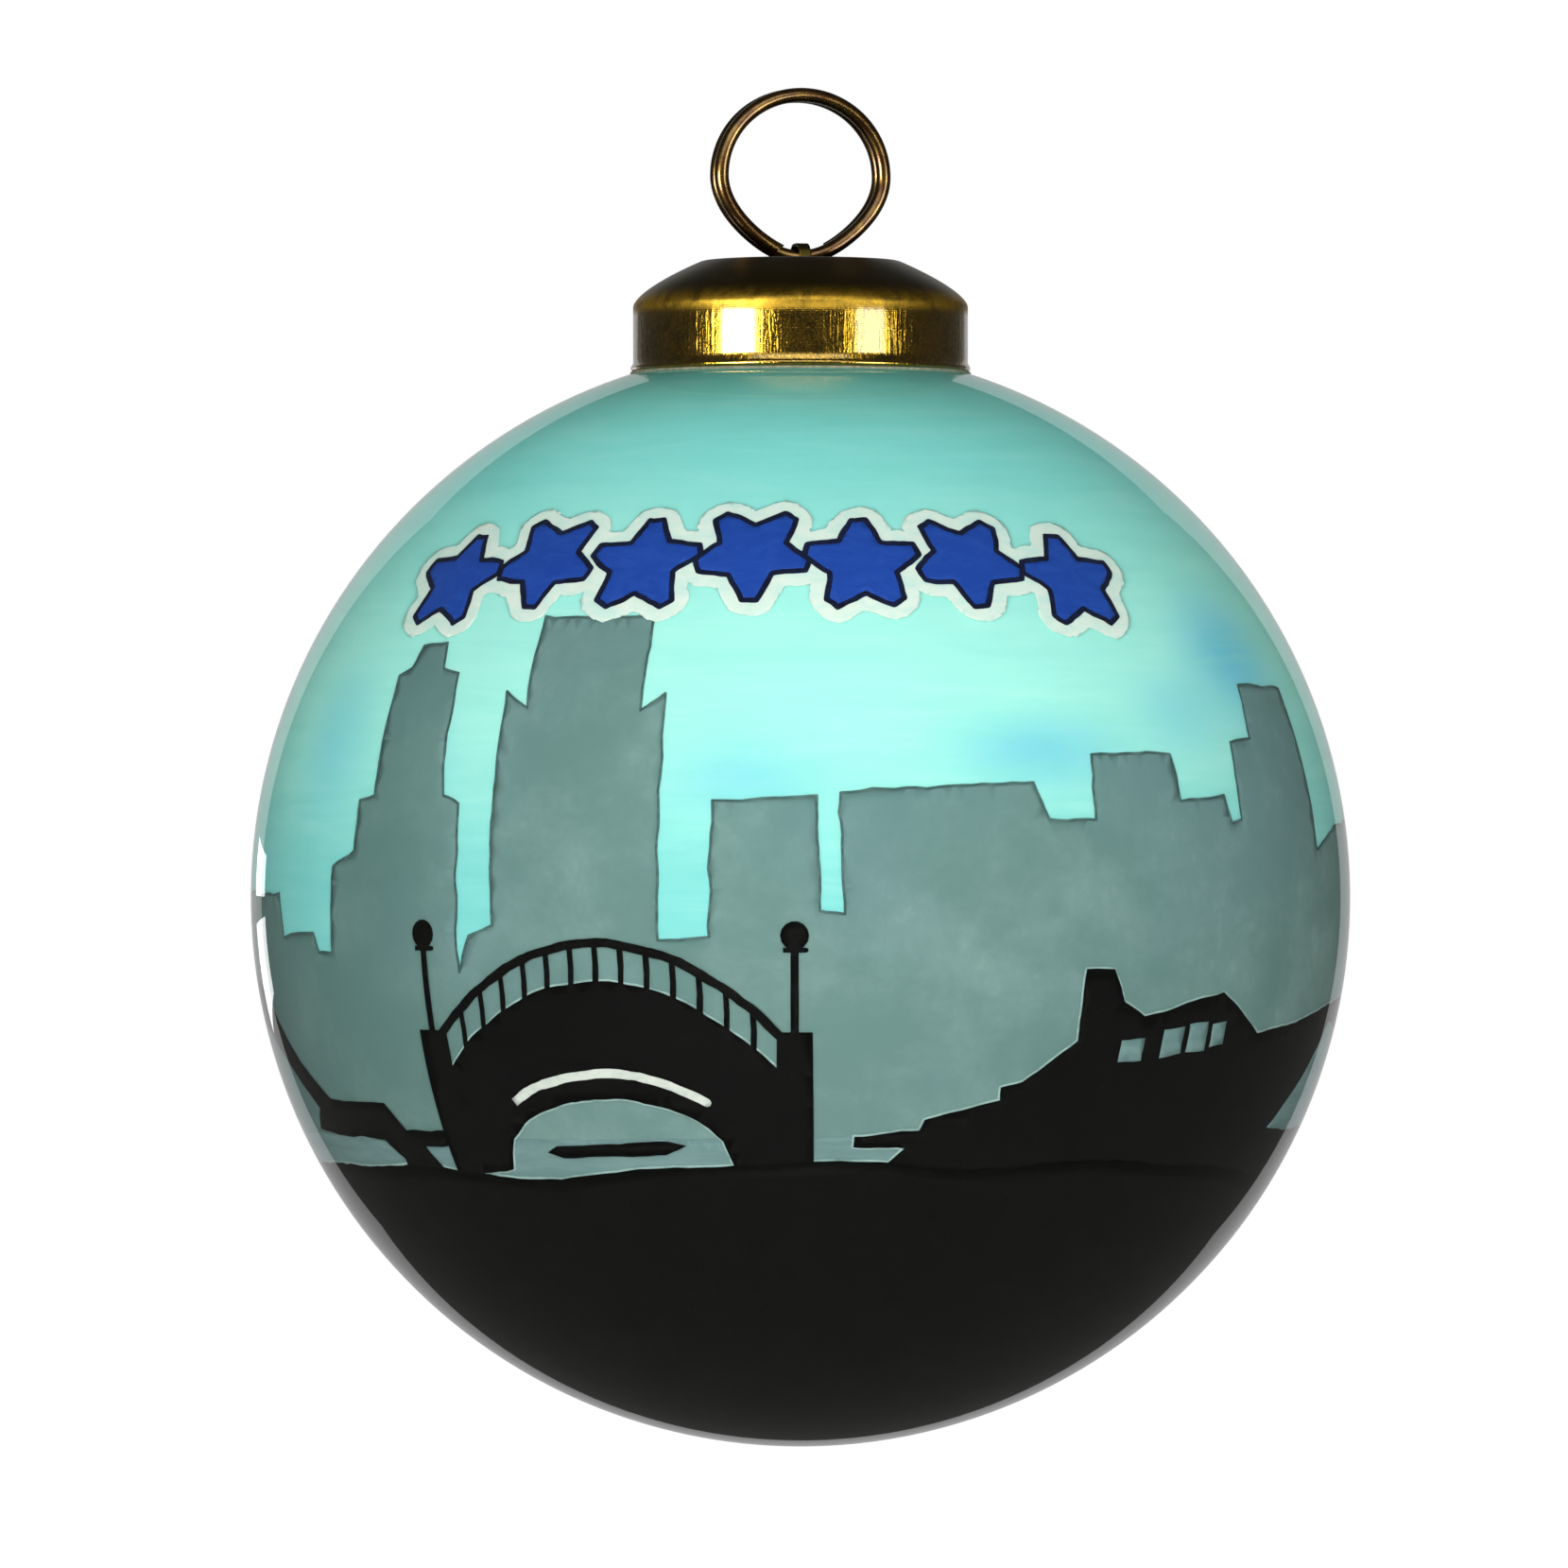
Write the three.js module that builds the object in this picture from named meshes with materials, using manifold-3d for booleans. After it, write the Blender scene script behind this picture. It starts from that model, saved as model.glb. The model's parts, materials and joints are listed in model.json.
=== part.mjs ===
// A souvenir Christmas ornament: a thick-walled glass ball painted on its inside, closed by a
// brass cap cemented over its neck, and hung by a split ring that swings under a strap on the cap.
// Millimetres, +Z up. The origin is the hanging point: the underside of the ring's top, where a
// hook or ribbon bears. The picture's front faces -Y.

import * as THREE from "three";
import { mergeVertices } from "three/addons/utils/BufferGeometryUtils.js";
import Module from "manifold-3d";

// Glass ball. Every height below, named _Z, is above the ball's centre.
const BALL_RADIUS = 40;
const GLASS_WALL = 2;
const NECK_RADIUS = 9.5;
const NECK_TOP_Z = 43.2;
const NECK_FILLET = 1.4;

// Paint on the inside of the glass, drawn thicker than the real film.
const COAT_GAP = 0.1;
const COAT_THICKNESS = 0.4;
const COAT_OPENING_RADIUS = 9.2;

// Spun brass cap.
const CAP_RADIUS = 12.2;
const CAP_WALL = 0.5;
const CAP_RIM_Z = 38.2;
const CAP_RIM_FLARE = 0.18;
const CAP_RIM_HEIGHT = 0.9;
const CAP_SHOULDER_Z = 42.9;
const SHOULDER_LIFT = 0.7; // how steeply the shoulder leaves the wall
const SHOULDER_RUN = 3.1; // how far and how low the shoulder's curve reaches out from the crown
const SHOULDER_DROP = 1.4;
const CROWN_Z = 46.3;
const CROWN_RADIUS = 7.3;
const CREST_RADIUS = 5.3;
const DISH_RADIUS = 4.1;
const DISH_DEPTH = 1.3;
const DISH_EASE = 0.8; // length of the curve's handle at the crest, and half of it at the floor

// Cement between the neck and the cap.
const CEMENT_GAP = 0.3;
const CEMENT_BOTTOM_Z = 39.3;
const CEMENT_TOP_Z = 43;
const CEMENT_CHAMFER = 0.4;

// Split ring: one wire wound for nearly two turns, its coils lying side by side.
const WIRE_RADIUS = 0.52;
const RING_HALF_WIDTH = 6.2; // to the middle of the wire
const RING_HALF_HEIGHT = 5.9;
const RING_CENTRE_Z = 52.48;
const RING_PINCH = 0.27; // share of its width that the ring loses at its lowest point
const COIL_OFFSET = 0.55; // of each coil's plane from the ring's middle
const RING_TURN = THREE.MathUtils.degToRad(18); // the cap was cemented on at this turn to the picture

// Angles round the ring, in degrees clockwise from its lowest point as seen from the front.
const WIRE_START = 24;
const CROSSING_START = 335;
const CROSSING_END = 385;
const WIRE_END = 694;

// Strap that holds the ring's single crossing wire down on the cap.
const STRAP_WIDTH = 0.9;
const STRAP_THICKNESS = 0.25;
const STRAP_HALF_SPAN = 0.9; // inside, either side of the wire
const STRAP_RISE = 0.76; // of its underside above the wire's middle
const STRAP_CORNER = 0.6;
const TAB_LENGTH = 1.5;
const SLOT_CLEARANCE = 0.12;

// Facets.
const TURN_STEPS = 40;
const BALL_ARC_STEPS = 20;
const WIRE_SIDES = 10;
const WIRE_STEPS = 76;

const PIVOT_Z = RING_CENTRE_Z - RING_HALF_HEIGHT;
const HANGING_POINT_Z = RING_CENTRE_Z + RING_HALF_HEIGHT - WIRE_RADIUS;
const DISH_FLOOR_Z = CROWN_Z - DISH_DEPTH;

const wasm = await Module();
wasm.setup();

const glass = new THREE.MeshStandardMaterial({
  color: "#dfeeee",
  roughness: 0.02,
  metalness: 0,
  transparent: true,
  opacity: 0.3,
});
const paint = new THREE.MeshStandardMaterial({ color: "#6fc9bf", roughness: 0.45, metalness: 0 });
const antiqueBrass = new THREE.MeshStandardMaterial({
  color: "#6b5015",
  roughness: 0.35,
  metalness: 1,
});
const ringBrass = new THREE.MeshStandardMaterial({ color: "#80621c", roughness: 0.2, metalness: 1 });
const plaster = new THREE.MeshStandardMaterial({ color: "#d9d2c1", roughness: 0.9, metalness: 0 });

const point = (r, z) => new THREE.Vector2(r, z);

// Points of an arc about (r, z), from one angle to another in degrees, measured from +r towards +z.
function arc(r, z, radius, from, to, steps) {
  return Array.from({ length: steps + 1 }, (_, i) => {
    const a = THREE.MathUtils.degToRad(from + ((to - from) * i) / steps);
    return point(r + radius * Math.cos(a), z + radius * Math.sin(a));
  });
}

// A profile turned about the Z axis.
function turned(profile) {
  return new THREE.LatheGeometry(profile, TURN_STEPS).rotateX(Math.PI / 2);
}

function solid(geometry) {
  const bare = geometry.clone();
  bare.deleteAttribute("normal");
  bare.deleteAttribute("uv");
  const merged = mergeVertices(bare, 1e-4);
  return new wasm.Manifold(
    new wasm.Mesh({
      numProp: 3,
      vertProperties: merged.attributes.position.array,
      triVerts: new Uint32Array(merged.index.array),
    }),
  );
}

function geometryOf(body) {
  const mesh = body.getMesh();
  const geometry = new THREE.BufferGeometry();
  geometry.setAttribute("position", new THREE.BufferAttribute(mesh.vertProperties, 3));
  geometry.setIndex(new THREE.BufferAttribute(mesh.triVerts, 1));
  geometry.computeVertexNormals();
  return geometry;
}

// Angle of elevation, in degrees, at which a sphere has the given radius from its axis.
const elevationAt = (radius, sphere) => THREE.MathUtils.radToDeg(Math.acos(radius / sphere));

function glassBall() {
  const inner = BALL_RADIUS - GLASS_WALL;
  const bore = NECK_RADIUS - GLASS_WALL;
  const outerFoot = NECK_RADIUS + NECK_FILLET;
  const filletZ = Math.sqrt(BALL_RADIUS ** 2 - outerFoot ** 2) + NECK_FILLET;
  const innerFoot = bore + NECK_FILLET;
  const lip = GLASS_WALL / 2;
  const profile = [
    point(0, -BALL_RADIUS),
    ...arc(0, 0, BALL_RADIUS, -90, elevationAt(outerFoot, BALL_RADIUS), BALL_ARC_STEPS).slice(1),
    ...arc(outerFoot, filletZ, NECK_FILLET, -120, -180, 2),
    ...arc(bore + lip, NECK_TOP_Z - lip, lip, 0, 180, 6),
    ...arc(0, 0, inner, elevationAt(innerFoot, inner), -90, BALL_ARC_STEPS).slice(0, -1),
    point(0, -inner),
  ];
  return turned(profile);
}

function paintedCoat() {
  const outer = BALL_RADIUS - GLASS_WALL - COAT_GAP;
  const inner = outer - COAT_THICKNESS;
  const profile = [
    point(0, -outer),
    ...arc(0, 0, outer, -90, elevationAt(COAT_OPENING_RADIUS, outer), BALL_ARC_STEPS).slice(1),
    ...arc(0, 0, inner, elevationAt(COAT_OPENING_RADIUS, inner), -90, BALL_ARC_STEPS).slice(0, -1),
    point(0, -inner),
  ];
  return turned(profile);
}

// The cap's outer skin from its rim up over the shoulder and down into the dish, set in by an inset.
function capSkin(inset) {
  const shoulder = new THREE.CubicBezierCurve(
    point(CAP_RADIUS - inset, CAP_SHOULDER_Z),
    point(CAP_RADIUS - inset, CAP_SHOULDER_Z + SHOULDER_LIFT),
    point(CROWN_RADIUS + SHOULDER_RUN - inset, CROWN_Z - SHOULDER_DROP - inset),
    point(CROWN_RADIUS, CROWN_Z - inset),
  );
  const dish = new THREE.CubicBezierCurve(
    point(CREST_RADIUS, CROWN_Z - inset),
    point(CREST_RADIUS - DISH_EASE, CROWN_Z - inset),
    point(DISH_RADIUS + DISH_EASE / 2, DISH_FLOOR_Z - inset),
    point(DISH_RADIUS, DISH_FLOOR_Z - inset),
  );
  return [
    point(CAP_RADIUS + CAP_RIM_FLARE - inset, CAP_RIM_Z),
    point(CAP_RADIUS + CAP_RIM_FLARE / 2 - inset, CAP_RIM_Z + CAP_RIM_HEIGHT / 2),
    point(CAP_RADIUS - inset, CAP_RIM_Z + CAP_RIM_HEIGHT),
    ...shoulder.getPoints(7),
    ...dish.getPoints(5),
    point(0, DISH_FLOOR_Z - inset),
  ];
}

function slotCutter(side) {
  const clearance = 2 * SLOT_CLEARANCE;
  const cutter = new THREE.BoxGeometry(
    STRAP_WIDTH + clearance,
    STRAP_THICKNESS + clearance,
    4 * CAP_WALL,
  );
  const middle = STRAP_HALF_SPAN + STRAP_THICKNESS / 2;
  return cutter.translate(0, side * middle, DISH_FLOOR_Z - CAP_WALL / 2);
}

function capShell() {
  const skin = turned([...capSkin(CAP_WALL).reverse(), ...capSkin(0)]);
  let cap = solid(skin);
  for (const side of [-1, 1]) cap = cap.subtract(solid(slotCutter(side)));
  return geometryOf(cap);
}

function capCement() {
  const inside = NECK_RADIUS + CEMENT_GAP;
  const outside = CAP_RADIUS - CAP_WALL - CEMENT_GAP;
  return turned([
    point(inside, CEMENT_BOTTOM_Z),
    point(outside, CEMENT_BOTTOM_Z),
    point(outside, CEMENT_TOP_Z - CEMENT_CHAMFER),
    point(outside - CEMENT_CHAMFER, CEMENT_TOP_Z),
    point(inside, CEMENT_TOP_Z),
    point(inside, CEMENT_BOTTOM_Z),
  ]);
}

// The wire's middle line. It keeps to the front coil, crosses at the bottom, and ends in the rear coil.
class RingWire extends THREE.Curve {
  getPoint(t, target = new THREE.Vector3()) {
    const angle = WIRE_START + t * (WIRE_END - WIRE_START);
    const crossed = THREE.MathUtils.smoothstep(angle, CROSSING_START, CROSSING_END);
    const a = THREE.MathUtils.degToRad(angle);
    const pinch = RING_PINCH * Math.max(0, Math.cos(a)) ** 2;
    return target.set(
      -RING_HALF_WIDTH * (1 - pinch) * Math.sin(a),
      COIL_OFFSET * (2 * crossed - 1),
      RING_CENTRE_Z - RING_HALF_HEIGHT * Math.cos(a),
    );
  }
}

function splitRing() {
  const section = new THREE.Shape().absarc(0, 0, WIRE_RADIUS, 0, 2 * Math.PI);
  return new THREE.ExtrudeGeometry(section, {
    curveSegments: WIRE_SIDES / 2, // a full circle takes twice as many
    steps: WIRE_STEPS,
    bevelEnabled: false,
    extrudePath: new RingWire(),
  });
}

// One side of the strap, from the middle of its top down to the end of its tab, as a thick outline.
function strapOutline() {
  const inside = STRAP_HALF_SPAN;
  const outside = inside + STRAP_THICKNESS;
  const under = PIVOT_Z + STRAP_RISE;
  const over = under + STRAP_THICKNESS;
  const bend = STRAP_CORNER + STRAP_THICKNESS;
  const tabTop = DISH_FLOOR_Z - CAP_WALL - SLOT_CLEARANCE;
  const tabBottom = tabTop - STRAP_THICKNESS;
  const tabEnd = outside + TAB_LENGTH;
  const quarter = Math.PI / 2;
  const outline = new THREE.Shape();
  outline.moveTo(inside, tabBottom);
  outline.lineTo(tabEnd, tabBottom);
  outline.lineTo(tabEnd, tabTop);
  outline.lineTo(outside, tabTop);
  outline.absarc(outside - bend, over - bend, bend, 0, quarter, false);
  outline.absarc(bend - outside, over - bend, bend, quarter, 2 * quarter, false);
  outline.lineTo(-outside, tabTop);
  outline.lineTo(-tabEnd, tabTop);
  outline.lineTo(-tabEnd, tabBottom);
  outline.lineTo(-inside, tabBottom);
  outline.absarc(STRAP_CORNER - inside, under - STRAP_CORNER, STRAP_CORNER, 2 * quarter, quarter, true);
  outline.absarc(inside - STRAP_CORNER, under - STRAP_CORNER, STRAP_CORNER, quarter, 0, true);
  outline.closePath();
  return outline;
}

function ringStrap() {
  const strip = new THREE.ExtrudeGeometry(strapOutline(), {
    depth: STRAP_WIDTH,
    curveSegments: 4,
    bevelEnabled: false,
  });
  // The outline's own x and y become Y and Z, and its depth lies along X.
  return strip.translate(0, 0, -STRAP_WIDTH / 2).applyMatrix4(
    new THREE.Matrix4().makeBasis(
      new THREE.Vector3(0, 1, 0),
      new THREE.Vector3(0, 0, 1),
      new THREE.Vector3(1, 0, 0),
    ),
  );
}

function named(name, geometry, material) {
  const mesh = new THREE.Mesh(geometry, material);
  mesh.name = name;
  return mesh;
}

const hanger = new THREE.Group();
hanger.add(
  named("cap_shell", capShell(), antiqueBrass),
  named("ring_strap", ringStrap(), antiqueBrass),
  named("split_ring", splitRing(), ringBrass),
);
hanger.rotation.z = RING_TURN;

const ornament = new THREE.Group();
ornament.add(
  named("glass_ball", glassBall(), glass),
  named("painted_coat", paintedCoat(), paint),
  named("cap_cement", capCement(), plaster),
  hanger,
);
ornament.position.z = -HANGING_POINT_Z;

export default ornament;
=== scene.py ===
"""A hanging glass ball ornament, painted on the inside of its glass: a mint sky with a row of blue
stars, a grey town, and a black foreground with a humpback footbridge and a boathouse. A cap of
antiqued brass is cemented over the neck and a split ring swings under a strap on the cap.

Lengths are in millimetres and places on the ball in degrees, with longitude 0 at the front and
growing to the right, until a mesh is made. Everything is placed from the frame's own boxes."""

import json
import math

import bmesh
import bpy
from mathutils import Matrix, Vector, noise
from mathutils.geometry import delaunay_2d_cdt


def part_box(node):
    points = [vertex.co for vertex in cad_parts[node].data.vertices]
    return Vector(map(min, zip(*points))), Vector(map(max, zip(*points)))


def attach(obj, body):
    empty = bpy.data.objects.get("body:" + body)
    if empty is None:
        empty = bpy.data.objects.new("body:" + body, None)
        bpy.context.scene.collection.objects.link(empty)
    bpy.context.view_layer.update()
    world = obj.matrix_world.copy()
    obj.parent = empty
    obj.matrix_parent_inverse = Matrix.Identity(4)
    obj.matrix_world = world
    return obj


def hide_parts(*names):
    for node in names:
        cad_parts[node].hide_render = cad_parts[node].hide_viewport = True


MM = 0.001
HAND_SEED = 7

noise.seed_set(HAND_SEED)  # so that every run draws the same hand-drawn lines

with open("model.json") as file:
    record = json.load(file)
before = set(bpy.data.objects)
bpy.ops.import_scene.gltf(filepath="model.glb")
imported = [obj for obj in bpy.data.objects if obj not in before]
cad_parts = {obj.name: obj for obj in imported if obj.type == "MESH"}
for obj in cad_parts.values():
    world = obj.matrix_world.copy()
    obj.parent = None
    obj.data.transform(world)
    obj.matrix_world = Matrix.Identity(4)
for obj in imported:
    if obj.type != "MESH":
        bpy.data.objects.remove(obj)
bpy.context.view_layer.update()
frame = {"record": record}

ball_low, ball_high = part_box("glass_ball")
cap_low, cap_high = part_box("cap_shell")
ring_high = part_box("split_ring")[1]
hinge = frame["record"]["behaviour"]["joints"][0]

# ---------------------------------------------------------------- sizes, in millimetres

BALL_RADIUS = (ball_high[0] - ball_low[0]) / 2 / MM
BALL_CENTRE = Vector((0, 0, ball_low[2] + BALL_RADIUS * MM))
NECK_TOP = (ball_high[2] - BALL_CENTRE.z) / MM
GLASS_WALL = 2.0
INNER_RADIUS = BALL_RADIUS - GLASS_WALL
NECK_RADIUS = 9.5
NECK_BORE = NECK_RADIUS - GLASS_WALL
NECK_FILLET = 1.4

FILM = 0.025  # thickness of a coat of paint
COAT_STEP = 0.035  # from one coat to the next behind it
PAINT_OPENING = 9.2
COARSE_STEP = 1.7  # degrees between points of a film of paint
FINE_STEP = 1.2

CAP_RIM = (cap_low[2] - BALL_CENTRE.z) / MM
CROWN = (cap_high[2] - BALL_CENTRE.z) / MM
CAP_RADIUS = 12.2
CAP_WALL = 0.5
CAP_SHOULDER = 42.9
SHOULDER_LIFT = 0.7
SHOULDER_RUN = 3.1
SHOULDER_DROP = 1.4
CROWN_RADIUS = 7.3
CREST_RADIUS = 5.3
DISH_RADIUS = 4.1
DISH_DEPTH = 1.3
DISH_EASE = 0.8

WIRE_RADIUS = 0.52
COIL_OFFSET = 0.55
RING_PINCH = 0.27
RING_HALF_WIDTH = 6.2
WIRE_START = 24  # degrees round the ring from its lowest point, as the next three
CROSSING_START = 335
CROSSING_END = 385
WIRE_END = 694
RING_TURN = math.atan2(hinge["axis"][1], hinge["axis"][0])
RING_TOP = (ring_high[2] - BALL_CENTRE.z) / MM
PIVOT = (hinge["pos_m"][2] - BALL_CENTRE.z) / MM
RING_HALF_HEIGHT = (RING_TOP - WIRE_RADIUS - PIVOT) / 2
RING_CENTRE = PIVOT + RING_HALF_HEIGHT

STRAP_WIDTH = 0.9
STRAP_THICKNESS = 0.25
STRAP_HALF_SPAN = 0.9
STRAP_RISE = 0.76
STRAP_CORNER = 0.6
TAB_LENGTH = 1.5

# ---------------------------------------------------------------- shader expressions


class Field:
    """A value that changes over a surface. Arithmetic on it adds Math nodes."""

    def __init__(self, finish, socket):
        self.finish = finish
        self.socket = socket

    def math(self, operation, *others):
        return self.finish.node("Math", {"operation": operation}, dict(enumerate((self, *others))))

    def __add__(self, other):
        return self.math("ADD", other)

    def __mul__(self, other):
        return self.math("MULTIPLY", other)

    def __sub__(self, other):
        return self.math("SUBTRACT", other)

    def __truediv__(self, other):
        return self.math("DIVIDE", other)

    def __rsub__(self, other):
        return self.finish.node("Math", {"operation": "SUBTRACT"}, {0: other, 1: self})

    __radd__ = __add__
    __rmul__ = __mul__

    def rise(self, low, high):
        """0 below low, 1 above high, and a smooth step between; it falls if low is the higher."""
        settings = {"interpolation_type": "SMOOTHSTEP"}
        if low < high:
            return self.finish.node("MapRange", settings, {0: self, 1: low, 2: high})
        return 1 - self.finish.node("MapRange", settings, {0: self, 1: high, 2: low})

    def axis(self, index):
        return self.finish.node("SeparateXYZ", {}, {0: self}, index)


class Finish:
    """A material and its shader nodes."""

    def __init__(self, name, **uniform):
        self.material = bpy.data.materials.new(name)
        self.material.use_nodes = True
        self.tree = self.material.node_tree
        self.shader = self.tree.nodes["Principled BSDF"]
        self.output = self.tree.nodes["Material Output"]
        for key, value in uniform.items():
            self.feed(key.replace("_", " ").title().replace("Ior", "IOR"), value)

    def link(self, socket, value):
        if isinstance(value, Field):
            self.tree.links.new(value.socket, socket)
        elif socket.type == "RGBA" and len(value) == 3:
            socket.default_value = (*value, 1)
        else:
            socket.default_value = value

    def feed(self, name, value):
        self.link(self.shader.inputs[name], value)

    def node(self, kind, settings=None, inputs=None, output=0):
        """A node of this kind: its settings first, then the values or links of its sockets."""
        made = self.tree.nodes.new("ShaderNode" + kind)
        for key, value in (settings or {}).items():
            setattr(made, key, value)
        for key, value in (inputs or {}).items():
            self.link(made.inputs[key], value)
        return Field(self, made.outputs[output])

    def place(self, scale=(1, 1, 1)):
        """Millimetres from the ball's centre, each way multiplied by its own scale."""
        spot = self.node("TexCoord", {}, {}, 3)
        size = [s / MM for s in scale]
        shift = [-c * s for c, s in zip(BALL_CENTRE, size)]
        return self.node("VectorMath", {"operation": "MULTIPLY_ADD"}, {0: spot, 1: size, 2: shift})

    def noise(self, scale, detail=2.0, roughness=0.5, stretch=(1, 1, 1), distortion=0.0):
        """Noise from 0 to 1 with scale features to a millimetre."""
        values = {
            "Vector": self.place([scale * s for s in stretch]),
            "Scale": 1.0,
            "Detail": detail,
            "Roughness": roughness,
            "Distortion": distortion,
        }
        return self.node("TexNoise", {}, values)

    def mix(self, mask, first, second):
        """The first colour where mask is 0 and the second where it is 1."""
        return self.node("Mix", {"data_type": "RGBA"}, {0: mask, 6: first, 7: second}, 2)

    def bump(self, height, distance, strength=1.0):
        """Feeds Normal with a relief of this height field, distance in millimetres."""
        values = {"Height": height, "Distance": distance * MM, "Strength": strength}
        self.feed("Normal", self.node("Bump", {}, values))


# ---------------------------------------------------------------- finishes


def longitude_latitude(finish):
    """The place on the ball, in degrees, as two fields."""
    spot = finish.place()
    east, ahead, up = (spot.axis(i) for i in range(3))
    reach = finish.node("VectorMath", {"operation": "LENGTH"}, {0: spot}, 1)
    latitude = (up / reach).math("ARCSINE") * math.degrees(1)
    longitude = east.math("ARCTAN2", ahead * -1) * math.degrees(1)
    return longitude, latitude


def spot_mask(longitude, latitude, lon, lat, wide, high):
    """A soft round patch in the paint, 1 at its middle and 0 at its edge."""
    across = (longitude - lon) / wide
    up = (latitude - lat) / high
    return (across * across + up * up).math("SQRT").rise(1.0, 0.0)


def sky_paint():
    """Mint sky, deep teal at the neck, brushed side to side, with soft blue dabs by the roofs."""
    finish = Finish("sky_paint", roughness=0.5, specular_ior_level=0.15)
    longitude, latitude = longitude_latitude(finish)
    strokes = finish.noise(0.5, 4, 0.6, (0.18, 0.18, 1.6), 0.6)
    clouds = finish.noise(0.07, 3, 0.5, (1, 1, 1.8))
    height = latitude + (clouds - 0.5) * 16 + (strokes - 0.5) * 5
    colour = finish.mix(height.rise(-4, 24), (0.225, 0.68, 0.64), (0.385, 0.85, 0.745))
    colour = finish.mix(height.rise(30, 56), colour, (0.27, 0.78, 0.72))
    colour = finish.mix(height.rise(56, 76), colour, (0.17, 0.55, 0.46))
    for lon, lat, wide, high, strength in (
        (-6, 13, 13, 6, 0.5),
        (27, 16, 16, 6, 0.75),
        (47, 20, 11, 7, 0.5),
        (60, 26, 15, 12, 1.0),
        (-62, 17, 10, 12, 0.55),
        (-44, 14, 7, 10, 0.25),
        (118, 20, 26, 9, 0.6),
        (-128, 18, 30, 9, 0.6),
        (154, 24, 22, 8, 0.5),
    ):
        dab = spot_mask(longitude, latitude, lon, lat, wide, high) * strength
        colour = finish.mix(dab * (strokes.rise(0.2, 0.7) * 0.5 + 0.5), colour, (0.15, 0.57, 0.74))
    colour = finish.mix(strokes.rise(0.45, 0.75) * 0.10, colour, (0.75, 1.0, 0.95))
    finish.feed("Base Color", finish.mix(strokes.rise(0.52, 0.25) * 0.10, colour, (0.12, 0.5, 0.48)))
    return finish.material


def town_paint():
    """Slate grey-green, thinly dabbed so that lighter clouds of paint show in it, with painted shade
    darkening the left of the ball.
    """
    finish = Finish("town_paint", roughness=0.55, specular_ior_level=0.12)
    longitude = longitude_latitude(finish)[0]
    clouds = finish.noise(0.12, 5, 0.66, (1, 1, 1.2), 0.15)
    dabs = finish.noise(0.9, 3, 0.6, (1, 1, 0.7))
    grit = finish.noise(4.5, 2, 0.6)
    blue = finish.noise(0.05, 2)
    colour = finish.mix(clouds.rise(0.34, 0.72), (0.132, 0.236, 0.218), (0.188, 0.303, 0.282))
    colour = finish.mix(blue.rise(0.42, 0.68) * 0.5, colour, (0.138, 0.240, 0.256))
    light_dabs = dabs.rise(0.48, 0.80) * clouds.rise(0.45, 0.7) * 0.5
    colour = finish.mix(light_dabs, colour, (0.27, 0.40, 0.36))
    # painted shade: the slate is darkened over the left of the ball, where less light falls
    left_painted_shade = longitude.rise(-32, -52) * longitude.rise(-175, -120)
    colour = finish.mix(left_painted_shade * 0.45, colour, (0.085, 0.165, 0.150))
    finish.feed("Base Color", finish.mix(grit.rise(0.60, 0.78) * 0.25, colour, (0.10, 0.18, 0.17)))
    return finish.material


def water_paint():
    """The same slate thinned with blue for the pond, stroked along the banks."""
    finish = Finish("water_paint", roughness=0.5, specular_ior_level=0.12)
    strokes = finish.noise(0.6, 4, 0.6, (0.3, 0.3, 2.0), 0.4)
    colour = finish.mix(strokes.rise(0.3, 0.7), (0.135, 0.238, 0.232), (0.180, 0.292, 0.284))
    finish.feed("Base Color", colour)
    return finish.material


def black_paint():
    """Thick black, faintly brown, with the finest brush marks."""
    finish = Finish("black_paint", roughness=0.45, specular_ior_level=0.06)
    strokes = finish.noise(0.7, 4, 0.6, (0.5, 0.5, 1.4), 0.5)
    specks = finish.noise(5.0, 1, 0.5)
    colour = finish.mix(strokes.rise(0.3, 0.75), (0.0004, 0.0005, 0.0004), (0.0018, 0.0018, 0.0011))
    finish.feed("Base Color", finish.mix(specks.rise(0.74, 0.8) * 0.2, colour, (0.08, 0.09, 0.08)))
    return finish.material


def plain_paint(name, colour, shade, contrast=0.6):
    """One flat colour laid on by hand: shade shows where the brush ran thin."""
    finish = Finish(name, roughness=0.45, specular_ior_level=0.15)
    strokes = finish.noise(0.9, 4, 0.62, (0.6, 0.6, 1.5), 0.7)
    finish.feed("Base Color", finish.mix(strokes.rise(0.38, 0.72) * contrast, colour, shade))
    return finish.material


def clear_glass():
    """Clear glass that lets lamps through to the paint behind it."""
    finish = Finish("clear_glass", roughness=0.0, ior=1.5, transmission_weight=1.0)
    finish.feed("Base Color", (0.985, 1.0, 0.995))
    shadow = finish.node("LightPath", {}, {}, 1)
    through = finish.node("BsdfTransparent", {}, {0: (0.97, 0.99, 0.985)})
    body = Field(finish, finish.shader.outputs[0])
    both = finish.node("MixShader", {}, {0: shadow, 1: body, 2: through})
    finish.link(finish.output.inputs[0], both)
    return finish.material


def wetted_wall():
    """The glass's inner wall where paint wets it: light crosses it without a bend or a glint."""
    finish = Finish("wetted_wall")
    through = finish.node("BsdfTransparent", {}, {0: (1, 1, 1)})
    finish.link(finish.output.inputs[0], through)
    return finish.material


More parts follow.
